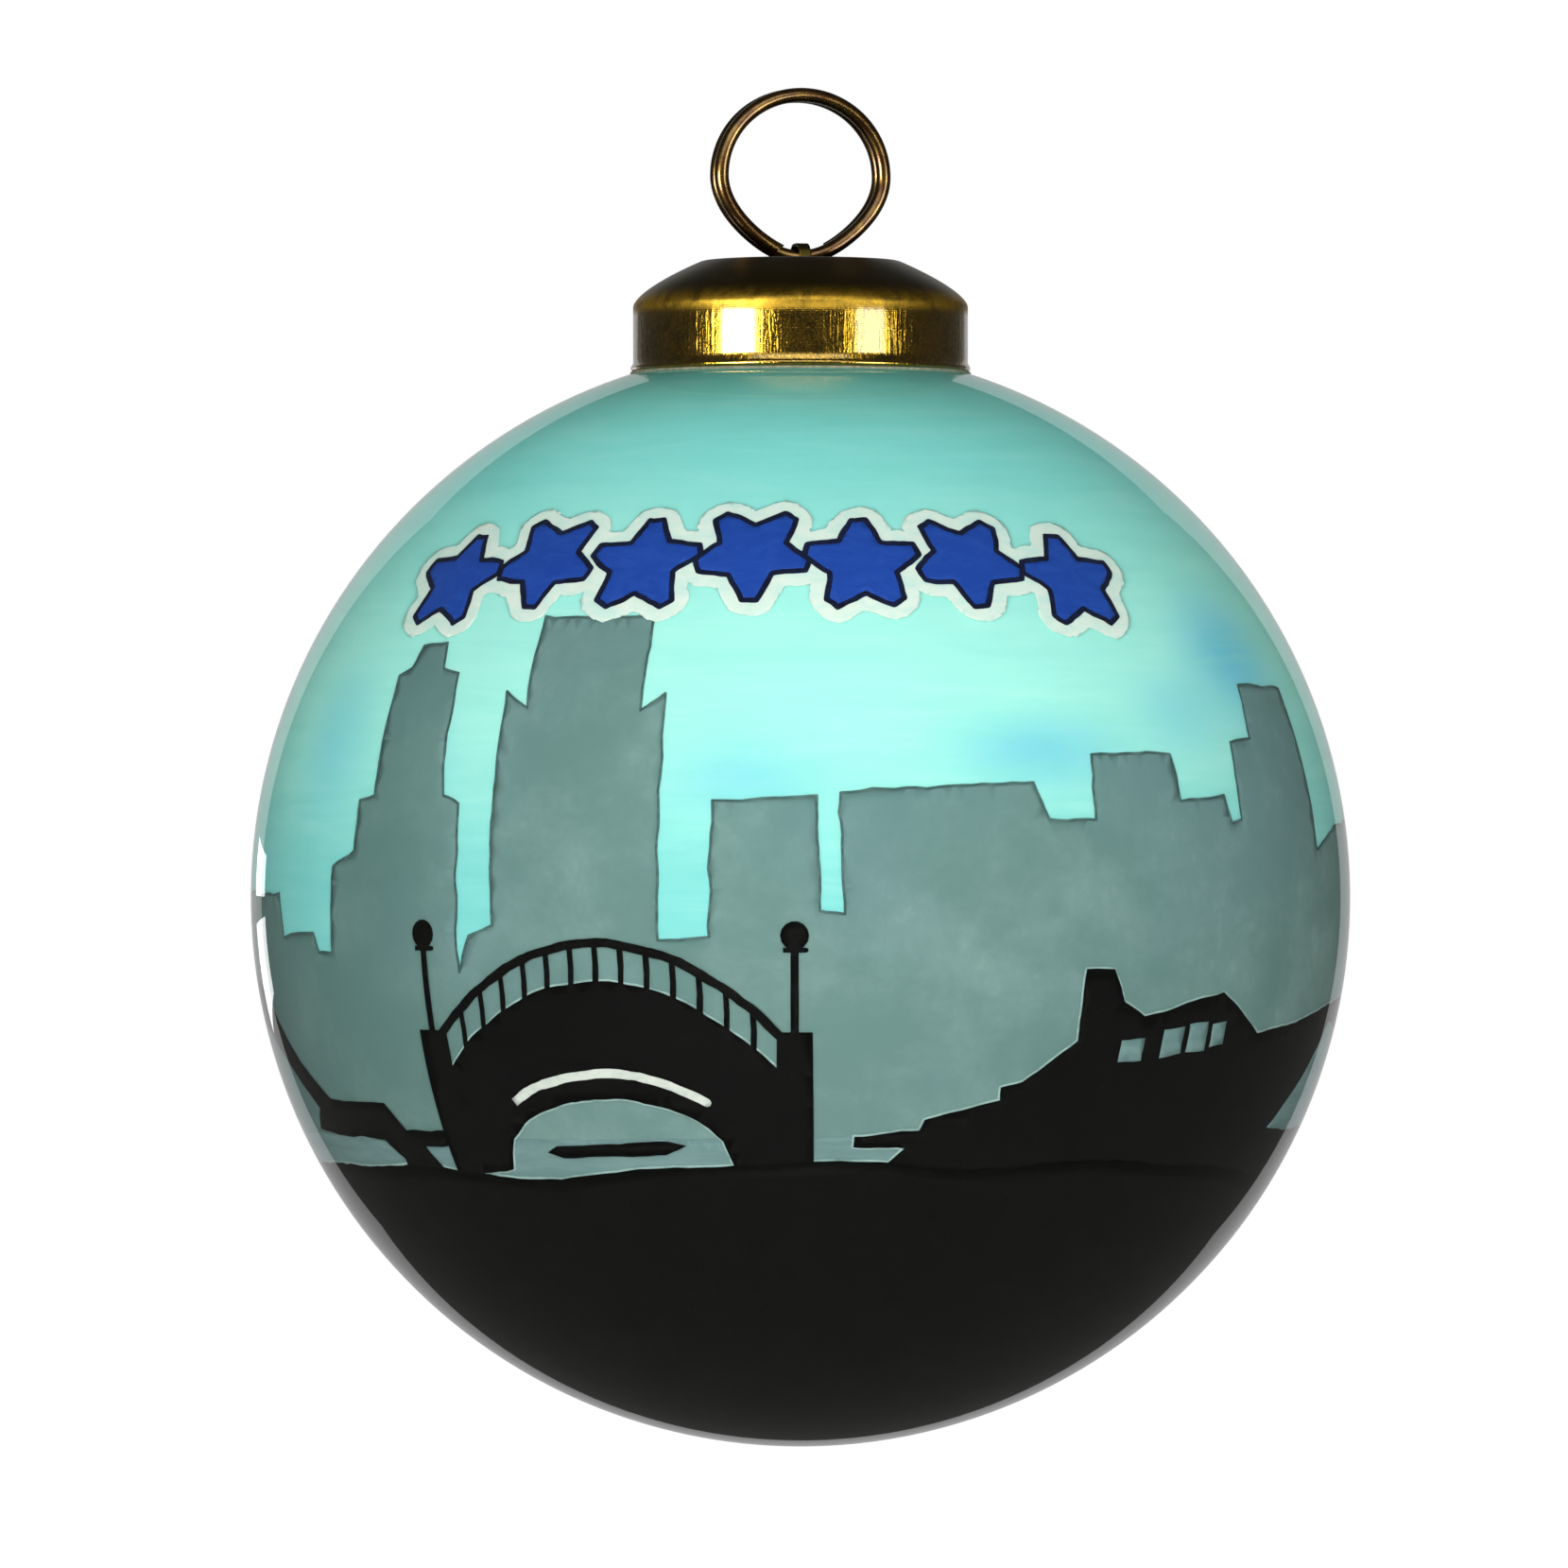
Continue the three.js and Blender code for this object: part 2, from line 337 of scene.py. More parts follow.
def antique_brass():
    """Brass plate gone dark, worn to gold round the shoulder, where the bright gold band is partly painted
    highlight, and speckled down the wall.
    """
    finish = Finish("antique_brass", metallic=1.0, coat_roughness=0.1)
    spot = finish.place()
    up = spot.axis(2)
    flat = finish.node("CombineXYZ", {}, {0: spot.axis(0), 1: spot.axis(1)})
    reach = finish.node("VectorMath", {"operation": "LENGTH"}, {0: flat}, 1)
    blotch = finish.noise(0.55, 5, 0.65, (1, 1, 0.8), 0.8)
    streak = finish.noise(3.4, 2, 0.6, (1, 1, 0.08))
    speckle = finish.noise(5.5, 3, 0.7, (1, 1, 0.7))
    wall = up.rise(CAP_SHOULDER - 0.1, CAP_SHOULDER - 0.8)
    corner = up.rise(CAP_SHOULDER - 1.1, CAP_SHOULDER - 0.3) * up.rise(CAP_SHOULDER + 1.4, CAP_SHOULDER + 0.2)
    rim = up.rise(CAP_RIM + 0.5, CAP_RIM + 0.1)
    # round the shoulder the gold is partly real wear and partly a painted highlight of light from above
    wear_and_sheen = corner * (blotch.rise(0.35, 0.62) * 0.5 + speckle.rise(0.4, 0.6) * 0.2 + 0.25)
    wear_and_sheen = wear_and_sheen.math("MAXIMUM", rim * 0.4)
    worn_wall = (blotch * 0.5 + speckle * 0.5).rise(0.44, 0.58)
    wear_and_sheen = wear_and_sheen.math("MAXIMUM", wall * worn_wall * 0.5)
    wear_and_sheen = wear_and_sheen.math("MAXIMUM", (1 - wall) * blotch.rise(0.58, 0.75) * 0.15)
    tarnish = finish.mix(wall, (0.066, 0.047, 0.010), (0.200, 0.124, 0.009))
    # worn gold, brightest round the shoulder where it is partly painted highlight
    colour = finish.mix(wear_and_sheen, tarnish, (0.62, 0.37, 0.036))
    colour = finish.mix(wall * speckle.rise(0.56, 0.68) * 0.6, colour, (0.050, 0.024, 0.006))
    colour = finish.mix(wall * blotch.rise(0.5, 0.7) * 0.4, colour, (0.22, 0.085, 0.012))
    grains = finish.noise(8.0, 2, 0.7, (1, 1, 0.6))
    colour = finish.mix(wall * grains.rise(0.58, 0.66) * 0.8, colour, (0.70, 0.40, 0.06))
    finish.feed("Base Color", colour)
    polish = wall * 0.21 - corner * 0.06
    rough = 0.36 - polish + (blotch - 0.5) * 0.12 + speckle.rise(0.55, 0.75) * wall * 0.10
    finish.feed("Coat Weight", wall * 0.9)
    finish.feed("Roughness", rough)
    turning = finish.node("Math", {"operation": "SINE"}, {0: (up * 1.6 + reach) * 26})
    relief = blotch * 0.4 + speckle * wall * 0.9 + streak * wall * 2.2 + turning * 0.05
    finish.bump(relief, 0.040, 0.5)
    return finish.material


def ring_brass():
    """Drawn brass wire, still bright, browned in patches by handling."""
    finish = Finish("ring_brass", metallic=1.0, coat_weight=0.5, coat_roughness=0.15)
    blotch = finish.noise(0.7, 4, 0.6, (1, 1, 1), 0.6)
    colour = finish.mix(blotch.rise(0.34, 0.62), (0.170, 0.100, 0.020), (0.080, 0.036, 0.010))
    finish.feed("Base Color", colour)
    finish.feed("Roughness", blotch * 0.14 + 0.20)
    return finish.material


def cement_finish():
    """Dull cream plaster with pits and a little dust."""
    finish = Finish("cement", specular_ior_level=0.3)
    pits = finish.noise(3.0, 5, 0.65)
    finish.feed("Base Color", finish.mix(pits.rise(0.35, 0.7), (0.36, 0.31, 0.20), (0.62, 0.56, 0.42)))
    finish.feed("Roughness", pits * 0.2 + 0.75)
    finish.bump(pits, 0.08, 0.7)
    return finish.material


# ---------------------------------------------------------------- making meshes


def piece(name, mesh, finishes, slot, body, *nodes):
    """A visible piece of the ornament: its finish, the body it rides on and the nodes it replaces."""
    made = bpy.data.objects.new(name, mesh)
    bpy.context.scene.collection.objects.link(made)
    for finish in finishes:
        mesh.materials.append(finish)
    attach(made, body)
    if nodes:
        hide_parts(*nodes)
    return made


def mesh_of(name, vertices, faces, smooth_below=40):
    """A smooth-shaded mesh, sharp at edges that turn by more than smooth_below degrees."""
    mesh = bpy.data.meshes.new(name)
    mesh.from_pydata(vertices, [], faces)
    mesh.shade_smooth()
    mesh.set_sharp_from_angle(angle=math.radians(smooth_below))
    return mesh


def arc(r, z, radius, start, end, steps):
    """Points of an arc about (r, z), from one angle to another in degrees."""
    turns = [math.radians(start + (end - start) * i / steps) for i in range(steps + 1)]
    return [(r + radius * math.cos(a), z + radius * math.sin(a)) for a in turns]


def bezier(a, b, c, d, steps):
    """Points of a cubic curve from a to d with handles b and c."""
    curve = []
    for i in range(steps + 1):
        t = i / steps
        weights = ((1 - t) ** 3, 3 * t * (1 - t) ** 2, 3 * t * t * (1 - t), t**3)
        curve.append(tuple(sum(w * p[k] for w, p in zip(weights, (a, b, c, d))) for k in (0, 1)))
    return curve


def turned(name, profile, around, wobble=None):
    """A closed profile of (radius, height above the ball's centre), turned about the ball's axis.

    A profile point on the axis becomes one vertex. Faces look out if the profile runs
    anticlockwise. wobble gives a radius and a height to add at a point and an angle."""
    vertices, rings = [], []
    for index, (r, z) in enumerate(profile):
        if r < 1e-6:
            rings.append([len(vertices)] * around)
            vertices.append(BALL_CENTRE + Vector((0, 0, z)) * MM)
            continue
        rings.append(list(range(len(vertices), len(vertices) + around)))
        for k in range(around):
            angle = 2 * math.pi * k / around
            dr, dz = wobble(index, angle) if wobble else (0, 0)
            spot = Vector(((r + dr) * math.cos(angle), (r + dr) * math.sin(angle), z + dz))
            vertices.append(BALL_CENTRE + spot * MM)
    faces = []
    closed = profile[0][0] > 1e-6
    pairs = list(zip(rings, rings[1:])) + ([(rings[-1], rings[0])] if closed else [])
    for low, high in pairs:
        for k in range(around):
            corners = [low[k], low[(k + 1) % around], high[(k + 1) % around], high[k]]
            face = list(dict.fromkeys(corners))
            if len(face) > 2:
                faces.append(face)
    return mesh_of(name, vertices, faces)


def on_ball(lon, lat, radius):
    """A place on a sphere about the ball's centre, in the frame's metres."""
    lon, lat = math.radians(lon), math.radians(lat)
    out = Vector((math.sin(lon) * math.cos(lat), -math.cos(lon) * math.cos(lat), math.sin(lat)))
    return BALL_CENTRE + out * radius * MM


def coat_radius(name):
    """Radius of the coat of this name, at its depth behind the glass."""
    return INNER_RADIUS - COAT_STEP * (1 + DEPTHS[name])


def walk(outline, step, closed=True):
    """The outline with points added so that none is more than a step from the next."""
    walked = []
    ends = outline[1:] + outline[:1] if closed else outline[1:]
    for (x0, y0), (x1, y1) in zip(outline, ends):
        count = math.ceil(math.hypot(x1 - x0, y1 - y0) / step)
        walked += [(x0 + (x1 - x0) * i / count, y0 + (y1 - y0) * i / count) for i in range(count)]
    return walked if closed else walked + outline[-1:]


def by_hand(outline, seed, swing=0.28, step=1.2, closed=True):
    """An outline as a hand draws it: every short step a little off its line."""
    moved = []
    for x, y in walk(outline, step, closed):
        slip = noise.noise_vector(Vector((x * 0.31, y * 0.31, seed)))
        jitter = noise.noise_vector(Vector((x * 1.7, y * 1.7, seed + 9)))
        moved.append((x + swing * (slip.x + 0.4 * jitter.x), y + swing * (slip.y + 0.4 * jitter.y)))
    return moved


def stroke(line, width, closed=False):
    """A brush stroke along a line, as one slab a step and a round blot at each joint.

    Width is in degrees of arc, and wavers a little."""
    shapes = []
    ends = line[1:] + line[:1] if closed else line[1:]
    for (x0, y0), (x1, y1) in zip(line, ends):
        squeeze = math.cos(math.radians((y0 + y1) / 2))
        half = width / 2 * (1 + 0.18 * noise.noise(Vector((x0 * 0.6, y0 * 0.6, 3))))
        along = Vector(((x1 - x0) * squeeze, y1 - y0))
        if along.length < 0.01:
            continue
        along.normalize()
        dx, dy = -along.y * half / squeeze, along.x * half
        shapes.append([(x0 - dx, y0 - dy), (x1 - dx, y1 - dy), (x1 + dx, y1 + dy), (x0 + dx, y0 + dy)])
        shapes.append(blot(x1, y1, half, 8))
    return shapes


def blot(lon, lat, radius, sides=14):
    """A round spot of paint, in degrees."""
    squeeze = math.cos(math.radians(lat))
    return [(lon + radius * math.cos(a) / squeeze, lat + radius * math.sin(a)) for a in turns(sides)]


def weld(mesh):
    """Joins vertices that share a place, so that a coat right round the ball has no seam."""
    fix = bmesh.new()
    fix.from_mesh(mesh)
    bmesh.ops.remove_doubles(fix, verts=fix.verts, dist=0.001 * MM)
    fix.to_mesh(mesh)
    fix.free()


def face_outward(mesh):
    """Turns the faces of a closed mesh to look out."""
    fix = bmesh.new()
    fix.from_mesh(mesh)
    bmesh.ops.recalc_face_normals(fix, faces=fix.faces)
    fix.to_mesh(mesh)
    fix.free()


def coat(name, mesh, finish):
    """A sheet of paint given its thickness, on the side away from the glass."""
    made = piece(name, mesh, [finish], "inside_paint", "ball")
    thick = made.modifiers.new("film", "SOLIDIFY")
    thick.thickness = FILM * MM
    thick.offset = -1


def turns(count):
    """Angles in radians that share a turn evenly."""
    return [2 * math.pi * i / count for i in range(count)]


def film(name, outlines, finish, mesh_step=COARSE_STEP):
    """A coat of paint over the union of some outlines, each a list of (longitude, latitude)."""
    points, loops = [], []
    for outline in outlines:
        close_set = walk(outline, mesh_step)
        loops.append(list(range(len(points), len(points) + len(close_set))))
        points += [Vector(p) for p in close_set]
    low = [min(p[k] for p in points) for k in (0, 1)]
    high = [max(p[k] for p in points) for k in (0, 1)]
    columns, rows = (math.ceil((high[k] - low[k]) / mesh_step) for k in (0, 1))
    for i in range(1, columns):
        for j in range(1, rows):
            shift = 0.5 if j % 2 else 0.0
            points.append(Vector((low[0] + (i + shift) * mesh_step, low[1] + j * mesh_step)))
    spots, _, cells, _, _, owners = delaunay_2d_cdt(points, [], loops, 0, 1e-4)
    kept = [cell for cell, owner in zip(cells, owners) if owner]
    used = {index: place for place, index in enumerate(sorted({i for cell in kept for i in cell}))}
    radius = coat_radius(name)
    vertices = [on_ball(spots[i][0], spots[i][1], radius) for i in used]
    mesh = mesh_of(name, vertices, [[used[i] for i in cell] for cell in kept], 180)
    weld(mesh)
    coat(name, mesh, finish)


# ---------------------------------------------------------------- glass, cap, cement, strap, ring


def blown_glass():
    """The ball: an even wall, a short neck with a fire-polished lip, and an open bore."""
    outer_foot = NECK_RADIUS + NECK_FILLET
    inner_foot = NECK_BORE + NECK_FILLET
    top = math.degrees(math.acos(outer_foot / BALL_RADIUS))
    inner_top = math.degrees(math.acos(inner_foot / INNER_RADIUS))
    lip = GLASS_WALL / 2
    fillet_height = BALL_RADIUS * math.sin(math.radians(top)) + NECK_FILLET
    outside = [(0, -BALL_RADIUS)] + arc(0, 0, BALL_RADIUS, -90, top, 96)[1:]
    neck = arc(outer_foot, fillet_height, NECK_FILLET, -110, -180, 6)
    lip_turn = arc(NECK_BORE + lip, NECK_TOP - lip, lip, 0, 180, 12)
    inside = arc(0, 0, INNER_RADIUS, inner_top, -90, 90)[:-1] + [(0, -INNER_RADIUS)]
    mesh = turned("blown_glass", outside + neck + lip_turn + inside, 192)
    piece("blown_glass", mesh, [clear_glass(), wetted_wall()], "clear_glass", "ball", "glass_ball")
    edge = (INNER_RADIUS + GLASS_WALL / 4) * MM
    for face in mesh.polygons:
        if all((mesh.vertices[i].co - BALL_CENTRE).length < edge for i in face.vertices):
            face.material_index = 1


def cap_profile(inset):
    """The cap's skin from its rolled rim over the shoulder and crown into the dish."""
    shoulder = bezier(
        (CAP_RADIUS - inset, CAP_SHOULDER),
        (CAP_RADIUS - inset, CAP_SHOULDER + SHOULDER_LIFT),
        (CROWN_RADIUS + SHOULDER_RUN - inset, CROWN - SHOULDER_DROP - inset),
        (CROWN_RADIUS, CROWN - 0.06 - inset),
        18,
    )
    crown = [(CROWN_RADIUS - 0.2, CROWN - 0.01 - inset), (CROWN_RADIUS - 0.5, CROWN - inset)]
    dish = bezier(
        (CREST_RADIUS, CROWN - inset),
        (CREST_RADIUS - DISH_EASE, CROWN - inset),
        (DISH_RADIUS + DISH_EASE / 2, CROWN - DISH_DEPTH - inset),
        (DISH_RADIUS, CROWN - DISH_DEPTH - inset),
        12,
    )
    floor = [(DISH_RADIUS * 0.5, CROWN - DISH_DEPTH - inset), (0, CROWN - DISH_DEPTH - inset)]
    wall = [(CAP_RADIUS - inset, CAP_RIM + h) for h in (1.0, 1.8, 2.8, 3.8)]
    return wall + shoulder + crown + dish + floor


def spun_cap():
    """Spun brass cup with a small rolled rim, and two slots in its dish for the strap."""
    roll = arc(CAP_RADIUS - 0.07, CAP_RIM + 0.25, 0.25, -110, 40, 8)
    inside = [(CAP_RADIUS - CAP_WALL, CAP_RIM + 0.3)]
    skin = inside + roll + [(CAP_RADIUS, CAP_RIM + 0.62)] + cap_profile(0)
    profile = list(reversed(cap_profile(CAP_WALL))) + skin
    mesh = turned("spun_cap", profile, 160)
    made = piece("spun_cap", mesh, [antique_brass()], "antique_brass", "ball", "cap_shell")
    slot_wide, slot_long = STRAP_THICKNESS + 0.24, STRAP_WIDTH + 0.24
    cutters = bmesh.new()
    for side in (-1, 1):
        middle = Vector((0, side * (STRAP_HALF_SPAN + STRAP_THICKNESS / 2), CROWN - DISH_DEPTH))
        box = bmesh.ops.create_cube(cutters, size=1)["verts"]
        bmesh.ops.scale(cutters, vec=Vector((slot_long, slot_wide, 4 * CAP_WALL)) * MM, verts=box)
        bmesh.ops.translate(cutters, vec=middle * MM, verts=box)
    bmesh.ops.rotate(cutters, cent=(0, 0, 0), matrix=Matrix.Rotation(RING_TURN, 3, "Z"), verts=cutters.verts)
    bmesh.ops.translate(cutters, vec=BALL_CENTRE, verts=cutters.verts)
    tool_mesh = bpy.data.meshes.new("slot_punches")
    cutters.to_mesh(tool_mesh)
    cutters.free()
    tool = bpy.data.objects.new("slot_punches", tool_mesh)
    bpy.context.scene.collection.objects.link(tool)
    punch = made.modifiers.new("punch", "BOOLEAN")
    punch.operation = "DIFFERENCE"
    punch.object = tool
    bpy.context.view_layer.update()
    cut = bpy.data.meshes.new_from_object(made.evaluated_get(bpy.context.evaluated_depsgraph_get()))
    made.modifiers.clear()
    made.data = cut
    bpy.data.objects.remove(tool)


def cap_cement():
    """Plaster between the neck and the cap, and the thin wavy bead squeezed out below the rim."""
    finish = cement_finish()
    inside, outside = NECK_RADIUS + 0.05, CAP_RADIUS - CAP_WALL - 0.05
    top, bottom, chamfer = 43.0, 39.3, 0.4

    def lumps(index, angle):
        lump = noise.noise(Vector((math.cos(angle) * 3, math.sin(angle) * 3, index)))
        return 0.0, 0.18 * lump if index in (2, 3, 4) else 0.0

    chamfered = [(outside, top - chamfer), (outside - chamfer, top)]
    profile = [(inside, bottom), (outside, bottom), *chamfered, (inside, top)]
    mesh = turned("neck_cement", profile, 96, lumps)
    piece("neck_cement", mesh, [finish], "cement", "ball", "cap_cement")

    reach = CAP_RADIUS + 0.12
    height = math.sqrt(BALL_RADIUS**2 - reach**2) + 0.05
    bead = arc(reach, height, 0.09, 0, 315, 7)

    def waver(index, angle):
        spread = noise.noise(Vector((math.cos(angle) * 6, math.sin(angle) * 6, 4)))
        out = math.cos(math.radians(45 * index))
        return 0.05 * spread + 0.05 * out * spread, 0.03 * spread

    bead_mesh = turned("cement_bead", bead, 240, waver)
    piece("cement_bead", bead_mesh, [finish], "cement", "ball")


def swept(name, line, section, cut=0.0):
    """A section of (side, up) points carried along a line, its ends closed and cut aslant."""
    count, around = len(line), len(section)
    vertices = []
    side = Vector((0, 1, 0))
    for i, spot in enumerate(line):
        along = (line[min(i + 1, count - 1)] - line[max(i - 1, 0)]).normalized()
        side = (side - along * side.dot(along)).normalized()
        up = along.cross(side)
        slant = cut if i in (0, count - 1) else 0.0
        for s, u in section:
            vertices.append(spot + side * s + up * u + along * (slant * u))
    faces = []
    for i in range(count - 1):
        for k in range(around):
            a, b = i * around + k, i * around + (k + 1) % around
            faces.append([a, b, b + around, a + around])
    faces.append(list(reversed(range(around))))
    faces.append(list(range((count - 1) * around, count * around)))
    turn = Matrix.Rotation(RING_TURN, 3, "Z")
    placed = [BALL_CENTRE + turn @ v * MM for v in vertices]
    mesh = mesh_of(name, placed, faces)
    face_outward(mesh)
    return mesh


def split_ring():
    """Wire wound for nearly two turns: it crosses from one coil to the other under the strap."""
    steps = 600
    line = []
    for i in range(steps + 1):
        degrees = WIRE_START + (WIRE_END - WIRE_START) * i / steps
        share = (degrees - CROSSING_START) / (CROSSING_END - CROSSING_START)
        share = min(max(share, 0), 1)
        crossed = share * share * (3 - 2 * share)
        angle = math.radians(degrees)
        width = RING_HALF_WIDTH * (1 - RING_PINCH * max(0, math.cos(angle)) ** 2)
        height = RING_CENTRE - RING_HALF_HEIGHT * math.cos(angle)
        line.append(Vector((-width * math.sin(angle), COIL_OFFSET * (2 * crossed - 1), height)))
    section = arc(0, 0, WIRE_RADIUS, 0, 348, 29)
    mesh = swept("brass_ring", line, section, 0.6)
    piece("brass_ring", mesh, [ring_brass()], "ring_brass", "ring", "split_ring")


def ring_strap():
    """Bent brass strip over the ring's wire, its feet turned out under the cap."""
    half = STRAP_THICKNESS / 2
    reach, top = STRAP_HALF_SPAN + half, PIVOT + STRAP_RISE + half
    bend = STRAP_CORNER + half
    foot = CROWN - DISH_DEPTH - CAP_WALL - 0.12 - half
    right = [(0.0, top)] + arc(reach - bend, top - bend, bend, 90, 0, 8)
    right += [(reach, foot + 0.3)] + arc(reach + 0.2, foot + 0.2, 0.2, 180, 270, 4)
    right += [(reach + half + TAB_LENGTH, foot)]
    line = [(-y, z) for y, z in reversed(right)] + right[1:]
    path = [Vector((0, y, z)) for y, z in line]
    count = len(path)
    vertices, faces = [], []
    for i, spot in enumerate(path):
        along = (path[min(i + 1, count - 1)] - path[max(i - 1, 0)]).normalized()
        out = Vector((1, 0, 0)).cross(along)
        for across, through in ((-1, -1), (1, -1), (1, 1), (-1, 1)):
            vertices.append(spot + Vector((across * STRAP_WIDTH / 2, 0, 0)) + out * (through * half))
    for i in range(count - 1):
        for k in range(4):
            a, b = 4 * i + k, 4 * i + (k + 1) % 4
            faces.append([a, b, b + 4, a + 4])
    faces += [[3, 2, 1, 0], [4 * count - 4 + k for k in range(4)]]
    turn = Matrix.Rotation(RING_TURN, 3, "Z")
    mesh = mesh_of("wire_strap", [BALL_CENTRE + turn @ v * MM for v in vertices], faces)
    face_outward(mesh)
    made = piece("wire_strap", mesh, [antique_brass()], "antique_brass", "ball", "ring_strap")
    edge = made.modifiers.new("edge", "BEVEL")
    edge.width = 0.07 * MM
    edge.segments = 2
    edge.limit_method = "ANGLE"


# ---------------------------------------------------------------- the painting

# Roofs of the town all round, left to right from the back of the ball.
ROOFS = [
    (-180, 6), (-171, 6), (-170.5, 15), (-160, 15), (-160, 2), (-154, 2), (-154, 11), (-149, 12),
    (-149, 21), (-140, 21), (-140, 9), (-132, 9), (-131.5, -2), (-126, -2), (-126, 13), (-114, 13.5),
    (-113.5, 5), (-107, 5), (-106.5, 17), (-97, 17), (-97, 8), (-90, 8), (-89.5, 0.5), (-71.5, 0.5),
    (-70.5, -4), (-62.5, -3.5), (-61.5, -5.5), (-59, -5.5), (-58.5, 3.5), (-54.5, 5), (-54.5, 10.5),
    (-52, 11), (-53, 24), (-51, 25), (-50.5, 27.5), (-46.5, 28), (-45.5, 25), (-43, 24.5),
    (-41.5, 11), (-39, 10), (-38.5, -7.5), (-37, -3.5), (-34, -2.5), (-35, 22.3), (-32, 20.3),
    (-32.7, 31), (-18, 31), (-18, 20.3), (-15.3, 22.3), (-15, -4), (-9.5, -3.5), (-9.5, 10.5),
    (1.5, 11), (2, -1), (4.5, -1), (4, 11.5), (25.5, 12.5), (27, 8.5), (32.5, 8.5), (33, 15.5),
    (44, 15.5), (44.5, 10.5), (51.5, 11), (52, 8), (54, 8.5), (54.5, 16.5), (58.5, 17),
    (59.5, 23), (70, 22.5), (70.5, 5), (78, 7.5), (88, 8), (88.5, 18), (97, 18.5), (97.5, 3),
    (103, 3), (103.5, 12), (115, 12), (115.5, 20), (123, 20), (123.5, 7), (131, 7), (131.5, -1),
    (137, -1), (137.5, 14), (149, 14.5), (149.5, 9), (157, 9), (157.5, 24), (165, 24), (165.5, 10),
    (173, 10), (173.5, 6), (180, 6),
]
TOWN_FOOT = -34

# How far behind the glass each coat lies, counted in coats from the one laid on first.
DEPTHS = {
    "star_lines": 0,
    "stars": 1,
    "arch_line": 1,
    "star_halo": 2,
    "window_panes": 2,
    "near_bank": 3,
    "footbridge": 4,
    "punt": 4,
    "boathouse": 4,
    "far_banks": 5,
    "bank_edge": 6,
    "boathouse_edge": 6,
    "bridge_edge": 6,
    "town_lines": 7,
    "pond": 8,
    "town_blocks": 9,
    "sky_coat": 10,
}

# The stepped walk, once round its outline from the top of its left end.
LEFT_WALK = [
    (-90, -12), (-82, -14.5), (-76.5, -18), (-71, -22.3), (-74, -24.8), (-68, -25.4), (-62, -25.5),
    (-57, -25.9), (-54.5, -28), (-54.5, -30), (-47, -30), (-49.5, -26.6), (-43.5, -26.5),
    (-44.5, -24.7), (-52, -24.7), (-54.5, -21.6), (-66.5, -21.4), (-72.5, -17.2), (-78, -12),
    (-84, -8.8), (-90, -7.5),
]

TREE_FOOT = -31  # of the fir trees and the fence, behind the near bank
FIRS = [
    (112, 1.0), (127, 1.25), (136, 0.8), (155, 1.1), (-168, 0.9), (-152, 1.3), (-141, 0.95),
    (-117, 1.15), (-104, 0.8),
]

STARS = 7
STAR_RADIUS = 5.85
STAR_WAIST = 0.60
STAR_ROW_MIDDLE = -6.5
STAR_ROW_HALF = 43.5
STAR_ROW_HEIGHT = 38.2
STAR_ROW_SAG = 2.4
HALO = 1.8


def shore(lon):
    """Height of the near bank's edge at a longitude, the same at both ends of the turn."""
    wave = math.radians(lon)
    low = 1.0 * math.sin(3 * wave + 0.6) + 0.7 * math.sin(7 * wave + 2.2) + 0.35 * math.sin(13 * wave)
    return -28.8 + 0.75 * low


def brink(lon):
    """Height of the near bank's edge with the hand's waver."""
    turn = math.radians(lon)
    return shore(lon) + 0.25 * noise.noise(Vector((40 * math.cos(turn), 40 * math.sin(turn), 1)))


def pale_edge(name, lines):
    """A hair of thin pale paint that shows along the edges of the black shapes."""
    thin = plain_paint(name + "_paint", (0.36, 0.52, 0.49), (0.17, 0.28, 0.26), 0.9)
    strokes = []
    for line in lines:
        strokes += stroke(line, 0.42, closed=True)
    film(name, strokes, thin, mesh_step=FINE_STEP)


def ground():
    """The near bank: black from its wavy edge to the foot of the ball."""
    around, down = 240, 30
    vertices, faces = [], []
    for j in range(down):
        for i in range(around):
            lon = -180 + 360 * i / around
            edge = brink(lon)
            vertices.append(on_ball(lon, edge + (-90 - edge) * j / down, coat_radius("near_bank")))
    vertices.append(on_ball(0, -90, coat_radius("near_bank")))
    foot = len(vertices) - 1
    for j in range(down):
        for i in range(around):
            a, b = j * around + i, j * around + (i + 1) % around
            if j < down - 1:
                faces.append([a, a + around, b + around, b])
            else:
                faces.append([a, foot, b])
    mesh = mesh_of("near_bank", vertices, faces, 180)
    coat("near_bank", mesh, BLACK)
    lines = [[(lon, brink(lon)) for lon in range(low, low + 61, 3)] for low in range(-180, 180, 60)]
    shelf = [line + [(lon, lat - 1) for lon, lat in reversed(line)] for line in lines]
    pale_edge("bank_edge", shelf)


def sky():
    """The last coat, over the whole inside from the neck down."""
    radius = coat_radius("sky_coat")
    opening = math.degrees(math.acos(PAINT_OPENING / radius))
    inner = radius - FILM
    outside = [(0, -radius)] + arc(0, 0, radius, -90, opening, 90)[1:]
    inside = arc(0, 0, inner, opening, -90, 90)[:-1] + [(0, -inner)]
    mesh = turned("sky_coat", outside + inside, 180)
    piece("sky_coat", mesh, [sky_paint()], "inside_paint", "ball", "painted_coat")


def town():
    """Grey blocks of a town all round, with a fine dark line along the roofs."""
    roofs = by_hand(ROOFS, 2, 0.3, closed=False)
    roofs[0], roofs[-1] = (-180, 6), (180, 6)
    film("town_blocks", [[(-180, TOWN_FOOT), (180, TOWN_FOOT)] + roofs[::-1]], town_paint())
    line = plain_paint("town_line_paint", (0.050, 0.105, 0.098), (0.120, 0.215, 0.195), 0.8)
    film("town_lines", stroke(roofs, 0.27), line)
    water = [(-89, -25.5), (-66, -25), (-58, -26), (-20, -25.5), (14, -25), (14, TOWN_FOOT)]
    water = by_hand([*water, (-89, TOWN_FOOT)], 5)
    film("pond", [water[::-1]], water_paint())


